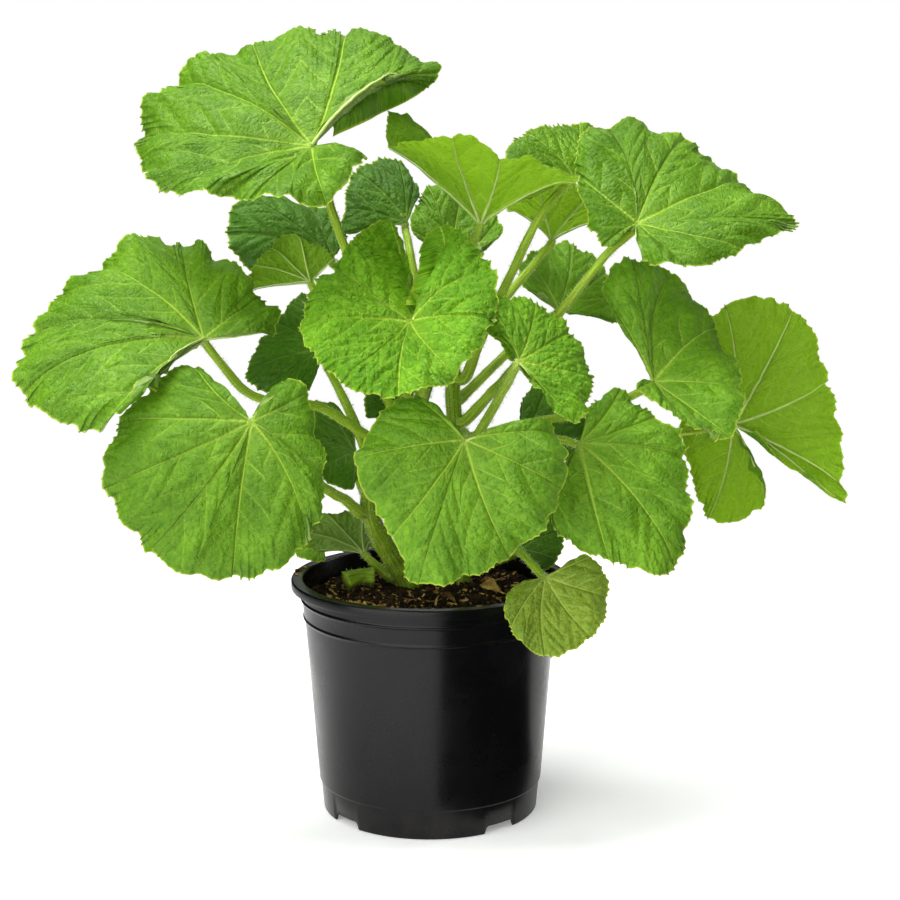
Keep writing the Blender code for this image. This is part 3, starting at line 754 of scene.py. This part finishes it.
near_main = fade(leaf_net, parts["X"], 5.0, 0.0)
near_root = fade(leaf_net, parts["Z"], 0.55, 0.05)
beside_main = sums(leaf_net, "MULTIPLY", near_main, sums(leaf_net, "ADD", near_root, 0.4))
halo = sums(leaf_net, "MAXIMUM", beside_main,
            sums(leaf_net, "MAXIMUM", fade(leaf_net, parts["Y"], 2.2, 0.0, 0.0, 0.45),
                 sums(leaf_net, "MULTIPLY", near_root, 0.5)))
leaf_net.links.new(halo, gives["Halo"])
leaf_net.links.new(fade(leaf_net, more["Z"], 1.3, 0.2), gives["Edge"])
# Painted shade: this marks the creases between the puffed cells so that the finish can darken them.
leaf_net.links.new(fade(leaf_net, more["Y"], 0.45, 0.0), gives["Painted Crease Shade"])
chart = put(leaf_net, "UVMap", uv_map="chart").outputs["UV"]
bent = put(leaf_net, "TexNoise", {"Vector": chart, "Scale": 120.0, "Detail": 3.0})
shift = put(leaf_net, "VectorMath", operation="SCALE")
leaf_net.links.new(bent.outputs["Color"], shift.inputs[0])
shift.inputs["Scale"].default_value = 0.005
moved = put(leaf_net, "VectorMath", operation="ADD")
leaf_net.links.new(chart, moved.inputs[0])
leaf_net.links.new(shift.outputs["Vector"], moved.inputs[1])
across = {"Vector": moved.outputs["Vector"]}
coarse = put(leaf_net, "TexVoronoi", {**across, "Scale": 300.0}, feature="DISTANCE_TO_EDGE")
small = put(leaf_net, "TexVoronoi", {**across, "Scale": 800.0}, feature="DISTANCE_TO_EDGE")
net = sums(leaf_net, "MAXIMUM", fade(leaf_net, coarse.outputs["Distance"], 0.10, 0.01),
           fade(leaf_net, small.outputs["Distance"], 0.12, 0.02, 0.0, 0.55))
leaf_net.links.new(net, gives["Net"])
cell = put(leaf_net, "TexVoronoi", {**across, "Scale": 300.0})
own = put(leaf_net, "SeparateColor", {"Color": cell.outputs["Color"]})
leaf_net.links.new(own.outputs["Red"], gives["Cell"])
wrinkle = put(leaf_net, "TexNoise", {**across, "Scale": 420.0, "Detail": 4.0, "Roughness": 0.6})
dome = sums(leaf_net, "ADD", fade(leaf_net, coarse.outputs["Distance"], 0.0, 0.35),
            fade(leaf_net, small.outputs["Distance"], 0.0, 0.35, 0.0, 0.45))
leaf_net.links.new(sums(leaf_net, "ADD", dome, sums(leaf_net, "MULTIPLY", wrinkle.outputs["Fac"], 0.7)),
                   gives["Height"])


def leaf_finish(name, deep, mid, vein, under, under_vein, glow, through_share, relief_depth=0.00030):
    """Leaf green: darker between the veins above, with painted shade in the creases between puffed cells,
    paler and greyer below, and light comes through.
    """
    material, tree, shader = new_finish(name, specular_ior_level=0.34, sheen_weight=0.03,
                                        sheen_roughness=0.4)
    net = use(tree, leaf_net, {"Main Width": 0.50, "Side Width": 0.26})
    tone = use(tree, patches, {"Size": 0.03, "Speck Size": 0.0013, "Speck Share": 0.35})
    fleck = use(tree, patches, {"Size": 0.007, "Speck Size": 0.0021, "Speck Share": 0.10})
    back = put(tree, "NewGeometry").outputs["Backfacing"]
    top = blend(tree, tone["Cloud"], deep, mid)
    top = blend(tree, fade(tree, net["Cell"], 0.0, 1.0, 0.0, 0.30), top, mid)
    top = blend(tree, sums(tree, "MULTIPLY", fleck["Cloud"], 0.30), top, deep)
    # Painted shade: the creases between the puffed cells are darkened towards the deep green.
    top = blend(tree, sums(tree, "MULTIPLY", net["Painted Crease Shade"], 0.55), top, deep)
    top = blend(tree, sums(tree, "MULTIPLY", net["Halo"], 0.20), top, vein)
    top = blend(tree, sums(tree, "MULTIPLY", net["Net"], 0.13), top, vein)
    top = blend(tree, sums(tree, "MULTIPLY", tone["Speck"], 0.12), top, vein)
    top = blend(tree, sums(tree, "MULTIPLY", net["Vein"], 0.80), top, vein)
    below = blend(tree, sums(tree, "MULTIPLY", tone["Cloud"], 0.5), under, mid)
    below = blend(tree, sums(tree, "MULTIPLY", net["Net"], 0.22), below, under_vein)
    below = blend(tree, sums(tree, "MULTIPLY", net["Vein"], 0.75), below, under_vein)
    colour = blend(tree, back, top, below)
    colour = blend(tree, sums(tree, "MULTIPLY", net["Edge"], 0.80), colour, (0.50, 0.60, 0.08))
    tree.links.new(colour, shader.inputs["Base Color"])
    tree.links.new(fade(tree, fleck["Cloud"], 0.0, 1.0, 0.38, 0.52), shader.inputs["Roughness"])
    relief = put(tree, "Bump", {"Strength": 1.0, "Distance": relief_depth, "Height": net["Height"]})
    down = use(tree, grain, {"Size": 0.0006, "Depth": 0.00008})
    tree.links.new(down["Normal"], relief.inputs["Normal"])
    tree.links.new(relief.outputs["Normal"], shader.inputs["Normal"])
    light = put(tree, "BsdfTranslucent", {"Normal": relief.outputs["Normal"]})
    shone = blend(tree, sums(tree, "MULTIPLY", net["Vein"], 0.5), glow, under_vein)
    tree.links.new(shone, light.inputs["Color"])
    both = put(tree, "MixShader", {"Fac": through_share})
    tree.links.new(shader.outputs["BSDF"], both.inputs[1])
    tree.links.new(light.outputs["BSDF"], both.inputs[2])
    tree.links.new(both.outputs["Shader"], tree.nodes["Material Output"].inputs["Surface"])
    return material


full_green = leaf_finish("leaf_full_green", (0.076, 0.190, 0.008), (0.182, 0.365, 0.022), (0.42, 0.60, 0.08),
                         (0.25, 0.38, 0.10), (0.46, 0.56, 0.22), (0.26, 0.50, 0.02), 0.24)
young_green = leaf_finish("leaf_young_green", (0.100, 0.280, 0.008), (0.25, 0.51, 0.026), (0.52, 0.70, 0.09),
                          (0.28, 0.44, 0.10), (0.52, 0.62, 0.22), (0.34, 0.60, 0.03), 0.28, 0.0005)
bright_green = leaf_finish("leaf_bright_green", (0.11, 0.26, 0.010), (0.21, 0.40, 0.022), (0.48, 0.64, 0.09),
                           (0.20, 0.37, 0.025), (0.50, 0.64, 0.12), (0.36, 0.60, 0.015), 0.36)
# Painted light: a lighter copy of the leaf green for a few lower leaves.
painted_light_green = leaf_finish("leaf_painted_light_green", (0.092, 0.225, 0.012), (0.23, 0.45, 0.032), (0.48, 0.66, 0.10),
                        (0.25, 0.38, 0.08), (0.46, 0.56, 0.20), (0.28, 0.52, 0.02), 0.24)
old_green = leaf_finish("leaf_old_green", (0.125, 0.215, 0.016), (0.30, 0.42, 0.050), (0.50, 0.62, 0.14),
                        (0.25, 0.34, 0.08), (0.44, 0.50, 0.20), (0.30, 0.42, 0.02), 0.22)
# Painted shade: a darker copy of the leaf green for the inner leaves.
painted_shade_green = leaf_finish("leaf_painted_shade_green", (0.038, 0.120, 0.009), (0.105, 0.255, 0.025), (0.26, 0.42, 0.08),
                         (0.18, 0.30, 0.10), (0.34, 0.46, 0.20), (0.18, 0.38, 0.02), 0.22)
vein_flesh, tree, shader = new_finish("vein_flesh", specular_ior_level=0.4)
flesh = use(tree, patches, {"Size": 0.01, "Speck Size": 0.0012, "Speck Share": 0.2})
tree.links.new(blend(tree, flesh["Cloud"], (0.42, 0.54, 0.17), (0.55, 0.65, 0.26)),
               shader.inputs["Base Color"])
tree.links.new(fade(tree, flesh["Cloud"], 0.0, 1.0, 0.42, 0.58), shader.inputs["Roughness"])


def smooth_step(value, start, end):
    t = np.clip((value - start) / (end - start), 0, 1)
    return t * t * (3 - 2 * t)


def columns_of(number, step):
    """Where a blade's columns of points run: their place along its edge, and whose vein each gap is."""
    _, spokes, up, _ = blades[number]
    ends = spokes[2:-1:2]
    edge = through(np.vstack([spokes[:1], ends, spokes[-1:]]), EDGE_STRETCHES)
    length = np.linalg.norm(edge, axis=1)
    ways = unit(edge)
    bend = np.arccos((ways[:-1] * ways[1:]).sum(axis=1).clip(-1, 1))
    turn = np.cross(ways[:-1], ways[1:]) @ up
    bend *= np.where(turn * turn.sum() > 0, 1, -1)
    angle = np.maximum.accumulate(np.concatenate([[0], np.cumsum(bend)]) + np.arange(len(edge)) * 1e-6)
    walk = np.concatenate([[0], np.cumsum(np.linalg.norm(np.diff(edge, axis=0), axis=1))])
    veins = []
    for end in unit(ends):
        spot = int((ways @ end).argmax())
        veins.append(max(spot, (veins[-1] if veins else 0) + 12))
    veins = np.array([spot for spot in veins if spot < len(edge) - 8])
    borders, owner = [0], []
    for index, at in enumerate(veins):
        if index:
            between = (angle[veins[index - 1]] + angle[at]) / 2
            inside = slice(veins[index - 1], at + 1)
            borders.append(veins[index - 1] + np.searchsorted(angle[inside], between))
            owner.append(index - 1)
        borders.append(at)
        owner.append(index)
    borders.append(len(edge) - 1)
    owner.append(len(veins) - 1)
    spots, whose = [walk[0]], []
    for start, end, vein in zip(borders, borders[1:], owner):
        count = max(3, math.ceil((walk[end] - walk[start]) / step))
        spots += list(np.linspace(walk[start], walk[end], count + 1)[1:])
        whose += [vein] * count
    place = np.interp(spots, walk, np.arange(len(edge)))
    at = lambda values: np.interp(place, np.arange(len(edge)), values)
    tips = np.stack([at(edge[:, axis]) for axis in range(3)], -1)
    return tips, at(angle), np.array(whose), angle[veins], length[veins], np.array(spots)


def pillows(flat, size, seed):
    """Rounded cells about size across on a flat chart: 0 in the creases between them."""
    jitter = np.random.default_rng(seed).uniform(0.1, 0.9, (61, 61, 2))
    cell = np.floor(flat / size).astype(int)
    near = np.full((2, len(flat)), 9.0)
    for dx in (-1, 0, 1):
        for dy in (-1, 0, 1):
            other = cell + [dx, dy]
            spot = other + jitter[other[:, 0] % 61, other[:, 1] % 61]
            gap = np.linalg.norm(flat / size - spot, axis=1)
            near[1] = np.minimum(near[1], np.maximum(near[0], gap))
            near[0] = np.minimum(near[0], gap)
    return smooth_step(near[1] - near[0], 0.0, 0.6)


def side_veins(draw, length, spacing):
    """The places along a main vein where its side veins leave it, on one side."""
    gaps = spacing * draw.uniform(0.6, 1.5, 40)
    return 0.16 * length + np.cumsum(gaps) - gaps[0] * 0.6


def fold_line(vein_angle, draw):
    """How high a blade's folds stand round its root: low along the main veins and high between them."""
    between = (vein_angle[1:] + vein_angle[:-1]) / 2
    at = np.sort(np.concatenate([vein_angle, between]))
    height = np.where(np.isin(at, vein_angle), 0.0, 1.0) * draw.uniform(0.55, 1.3, len(at))
    return np.concatenate([[at[0] - 0.4], at, [at[-1] + 0.4]]), np.concatenate([[0.7], height, [0.7]])


def make_blade(number):
    """One blade: the sheet with its toothed edge, and the ribs below it, as one piece."""
    draw = np.random.default_rng(200 + number)
    root, spokes, up, bow = blades[number]
    size = np.linalg.norm(spokes, axis=1).max()
    young = number in YOUNG
    tips, angle, whose, vein_angle, vein_length, walk = columns_of(number, EDGE_STEP)
    length = np.linalg.norm(tips, axis=1)
    on_edge = smooth_step(np.minimum(angle - vein_angle[0], vein_angle[-1] - angle), -0.25, 0.15)
    lobule_pitch = 0.019 if size > 0.07 else 0.013
    lobule = np.abs(np.sin(math.pi * (walk / lobule_pitch + 0.35 * waves(tips, 0.04, number))))
    pitch = TOOTH_PITCH * (1.0 if size > 0.06 else 0.75)
    saw = (walk / pitch + 0.30 * waves(tips, 0.012, number + 20)) % 1.0
    tooth = np.minimum(saw / 0.7, (1 - saw) / 0.3) ** 1.7
    tooth_reach = TOOTH_REACH * (1.2 if young else 0.8) * (0.6 + 0.4 * waves(tips, 0.02, number + 21))
    if number not in OUTER:
        length = length * (INNER_STRETCH + 0.03 * waves(tips, 0.05, number + 22))
    lobule_reach = LOBULE_REACH * size / WHOLE_BLADE
    length = length + on_edge * (lobule_reach * (lobule - 0.6) + tooth_reach * tooth)
    tips = unit(tips) * length[:, None]
    rows = int(np.clip(size / ROW_STEP, 28, 90))
    share = np.linspace(0.006, 1.0, rows)[:, None]
    reach = length[None, :]
    base = root + tips[None] * share[..., None]
    arch = 4 * share * (1 - share)
    base = base + up * (bow * reach * arch)[..., None]
    for from_side, bent in zip((angle, angle[-1] - angle), EDGE_BENDS.get(number, ())):
        base = base + (arch * np.exp(-(from_side / NOTCH_BEND_WIDTH) ** 2))[..., None] * np.array(bent) * MM
    sway = 0.05 * reach * arch * waves(tips, 0.08, number + 90)
    base = base + unit(np.cross(tips, up))[None] * sway[..., None]
    normal = unit(np.cross(np.gradient(base, axis=0), np.gradient(base, axis=1)))

    spacing = float(np.clip(0.17 * size, 0.0065, 0.0165))
    knots = {(vein, side): side_veins(draw, vein_length[vein], spacing)
             for vein in range(len(vein_angle)) for side in (-1, 1)}
    middle = (angle[1:] + angle[:-1]) / 2
    side_of = np.where(middle < vein_angle[whose], -1, 1)

    def fields(columns):
        """For the gaps between columns, at these columns: distances to the main, side and forked veins."""
        turn = np.clip(np.abs(angle[columns] - vein_angle[whose]), 0, 1.5)
        out = share * reach[:, columns] * np.sin(turn)
        start = share * reach[:, columns] * np.cos(turn) - out / math.tan(VEIN_ANGLE) - VEIN_BEND * out ** 2
        phase = np.empty_like(start)
        for (vein, side), steps in knots.items():
            mine = (whose == vein) & (side_of == side)
            inner = start[:, mine]
            phase[:, mine] = np.where(inner < steps[0], -np.minimum(0.5, (steps[0] - inner) / spacing),
                                      np.interp(inner, steps, np.arange(len(steps))))
        to_side = np.abs(phase - np.round(phase)) * spacing * math.sin(VEIN_ANGLE)
        forked = phase - 0.45 * smooth_step(out / spacing, 0.7, 2.2)
        to_fork = np.abs(forked - np.round(forked)) * spacing * math.sin(VEIN_ANGLE)
        to_fork += 0.02 * (1 - smooth_step(out / spacing, 0.6, 0.9)) + 0.02 * (phase < 0)
        return out, to_side, to_fork

    gap = np.arange(len(whose))
    left, right = fields(gap), fields(gap + 1)
    out, to_side, to_fork = (np.concatenate([a, b[:, -1:]], 1) for a, b in zip(left, right))
    fade_in = smooth_step(share * reach, 0.003, 0.016)
    nearer = np.minimum(out, np.minimum(to_side, to_fork * 1.4))
    pleat = 1 - np.exp(-nearer / (0.20 * spacing))
    chart = np.stack([share * reach * np.cos(angle), share * reach * np.sin(angle)], -1).reshape(-1, 2)
    pillow = pillows(chart, 0.0062 if young else 0.0050, number).reshape(out.shape)
    fine_pillow = pillows(chart, 0.0026, number + 7).reshape(out.shape)
    flat = base.reshape(-1, 3)
    pleat_height = (0.0024 if young else 0.0016) * (size / WHOLE_BLADE) ** 0.5 * draw.uniform(0.85, 1.2)
    relief = fade_in * pleat_height * (pleat - 0.45)
    relief += fade_in * (0.00100 if young else 0.00024) * (pillow - 0.5) * (0.4 + 0.6 * pleat)
    relief += fade_in * (0.00026 if young else 0.00007) * fine_pillow
    relief -= VEIN_GROOVE * np.exp(-(out / GROOVE_WIDTH) ** 2) * fade_in
    fold = np.abs(np.interp(angle, *fold_line(vein_angle, draw)))
    relief += size * 0.042 * (fold - 0.5) * share ** 1.2
    relief += 0.0014 * share * waves(flat, 0.036, number + 300).reshape(relief.shape)
    relief += 0.00035 * share * waves(flat, 0.012, number + 330).reshape(relief.shape)
    ruffle_pitch = 0.040 if size > 0.06 else 0.024
    ruffle = np.sin(walk * math.tau / ruffle_pitch + 1.6 * waves(tips, 0.05, number + 60))
    relief += (0.0024 * size / WHOLE_BLADE) * share ** 4 * ruffle[None, :]
    roll = (ROLL * size / WHOLE_BLADE) * smooth_step(share, 0.80, 1.08)
    relief -= roll * (1 + 0.5 * waves(tips, 0.03, number + 61))
    sheet = base + normal * relief[..., None]
    sheet_normal = unit(np.cross(np.gradient(sheet, axis=0), np.gradient(sheet, axis=1)))

    columns = len(tips)
    faces = grid_faces(rows, columns, False)
    points = [sheet.reshape(-1, 3)]
    groups, kinds = [faces], [np.zeros(len(faces))]
    count = rows * columns
    for at, vein in zip(vein_angle, vein_length):
        column = int(np.abs(angle - at).argmin())
        thick = RIB_RADIUS * (vein / 0.10) ** 0.6 * (1 - 0.86 * share[:, 0]) + 0.00010
        beside = sheet_normal[:, max(column - RIB_REACH, 0):column + RIB_REACH + 1].mean(axis=1)
        line = sheet[:, column] - unit(beside) * (thick * 1.10 + RIB_GAP)[:, None]
        rib, _ = skin_tube(line[:-1:2], thick[:-1:2], RIB_SIDES, 3, 0.02, number)
        points.append(rib.reshape(-1, 3))
        groups.append(grid_faces(len(rib), RIB_SIDES, True)[:, ::-1] + count)
        kinds.append(np.ones(len(groups[-1])))
        count += len(points[-1])

    # Painted light: a few lower leaves take the lighter copy of the leaf green.
    # Painted shade: the inner leaves take the darker copy of the leaf green.
    finish = (young_green if young else bright_green if number in BRIGHT
              else painted_shade_green if number in SHADED_INNER else old_green if number in OLD
              else painted_light_green if number in PAINTED_LIT else full_green)
    piece = shape(f"blade_{number:02}", np.vstack(points), groups, [finish, vein_flesh],
                  [f"leaf_{number:02}_blade"], np.concatenate(kinds))
    loops = sum(group.size for group in groups)
    corner_order = ((0, left, gap), (1, left, gap), (1, right, gap + 1), (0, right, gap + 1))

    def on_corners(name, values, plain):
        """A value for each corner of the sheet's faces, and plain ones for the ribs."""
        filled = np.tile(np.array(plain, float), (loops, 1))
        filled[:faces.size] = np.stack(values, 2).reshape(-1, 3)
        piece.data.attributes.new(name, "FLOAT_VECTOR", "CORNER").data.foreach_set("vector", filled.ravel())

    to_edge = (1 - share) * reach
    cut = lambda array, row: array[row:rows - 1 + row]
    wide = np.broadcast_to(share, out.shape)
    on_corners("veins", [np.stack([cut(f[0], r) / MM, cut(f[1], r) / MM, cut(wide[:, c], r)], -1)
                         for r, f, c in corner_order], (20, 9, 0.5))
    on_corners("forks", [np.stack([cut(f[2], r) / MM, cut(pillow[:, c], r), cut(to_edge[:, c], r) / MM], -1)
                         for r, f, c in corner_order], (9, 0.5, 20))
    whole_chart = np.zeros((count, 2))
    whole_chart[:rows * columns] = chart
    corners = np.concatenate([group.ravel() for group in groups])
    piece.data.uv_layers.new(name="chart").data.foreach_set("uv", whole_chart[corners].ravel())


for number in LEAVES:
    make_blade(number)

# --- Floor, light and camera -----------------------------------------------------
# A white sheet that fades out into a white room. One large soft box stands at the front
# left, with a weaker panel overhead, a strip on the right and one behind.

SHEET_RADIUS = 2.2
SHEET_TURN = 96
VIEW_DROP = 10.4  # how far the camera looks down, in degrees


def flat_card(name, corners, height):
    """A flat card that belongs to the room, and its mesh."""
    mesh = bpy.data.meshes.new(name)
    mesh.from_pydata(corners, [], [tuple(range(len(corners)))])
    card = bpy.data.objects.new(name, mesh)
    bpy.context.scene.collection.objects.link(card)
    card.location.z = height
    return card, mesh


rim = [(SHEET_RADIUS * math.cos(a), SHEET_RADIUS * math.sin(a), 0)
       for a in np.linspace(0, math.tau, SHEET_TURN + 1)[:-1]]
floor, sheet_mesh = flat_card("floor", rim, cad_low.z - 0.0002)
pale, tree, shader = new_finish("pale_floor", roughness=0.85, specular_ior_level=0.1)
shader.inputs["Base Color"].default_value = (0.93, 0.93, 0.93, 1.0)
far = put(tree, "VectorMath", operation="LENGTH")
tree.links.new(object_place(tree), far.inputs[0])
tree.links.new(fade(tree, far.outputs["Value"], 0.30, 1.0, 1.0, 0.0), shader.inputs["Alpha"])
shader.inputs["Emission Color"].default_value = (1.0, 1.0, 1.0, 1.0)
shader.inputs["Emission Strength"].default_value = 0.30
sheet_mesh.materials.append(pale)

# A black card lies at the front right. Only reflections show it, and it keeps that side
# of the pot dark.
CARD_CORNERS = [(0.010, -0.10, 0), (0.33, -1.60, 0), (1.60, -1.20, 0), (1.60, 0.25, 0), (0.12, 0.02, 0)]
card, card_mesh = flat_card("black_card", CARD_CORNERS, cad_low.z + 0.0005)
black, tree, shader = new_finish("card_black", roughness=1.0, specular_ior_level=0.0)
shader.inputs["Base Color"].default_value = (0.004, 0.004, 0.004, 1.0)
card_mesh.materials.append(black)
card.visible_camera = card.visible_diffuse = card.visible_shadow = card.visible_transmission = False


def soft_light(name, place, aim, width, height, power):
    """A rectangular soft light that lights and is reflected, and that no view shows."""
    lamp = bpy.data.lights.new(name, "AREA")
    lamp.shape = "RECTANGLE"
    lamp.size, lamp.size_y = width, height
    lamp.energy = power
    holder = bpy.data.objects.new(name, lamp)
    bpy.context.scene.collection.objects.link(holder)
    holder.location = place
    holder.rotation_euler = (Vector(aim) - Vector(place)).to_track_quat("-Z", "Y").to_euler()
    holder.visible_camera = False


middle = (cad_low + cad_high) / 2
soft_light("soft_box", (-0.95, -1.60, 0.80), middle, 3.2, 2.6, 68)
soft_light("overhead", (-0.35, 0.0, 1.9), middle, 1.2, 1.2, 44)
soft_light("right_strip", (1.5, 0.5, 0.6), middle, 0.3, 1.4, 8)
soft_light("behind", (0.2, 1.9, 1.2), middle, 1.8, 1.2, 6)
world = bpy.data.worlds.new("white_room")
bpy.context.scene.world = world
world.use_nodes = True
room = world.node_tree
inside = put(room, "Background", {"Color": (1.0, 1.0, 1.0, 1.0), "Strength": 0.08})
seen = put(room, "Background", {"Color": (1.0, 1.0, 1.0, 1.0), "Strength": 1.0})
either = put(room, "MixShader", {"Fac": put(room, "LightPath").outputs["Is Camera Ray"]})
room.links.new(inside.outputs["Background"], either.inputs[1])
room.links.new(seen.outputs["Background"], either.inputs[2])
room.links.new(either.outputs["Shader"], room.nodes["World Output"].inputs["Surface"])
world.cycles_visibility.glossy = False
bpy.context.scene.view_settings.view_transform = "Standard"
bpy.context.scene.view_settings.gamma = 0.82

camera_data = bpy.data.cameras.new("camera")
camera_data.lens = 80
camera_data.sensor_width = 36
camera = bpy.data.objects.new("camera", camera_data)
bpy.context.scene.collection.objects.link(camera)
camera.location = (0.012, -1.160, 0.430)
camera.rotation_euler = (math.radians(90 - VIEW_DROP), 0, 0)
bpy.context.scene.camera = camera
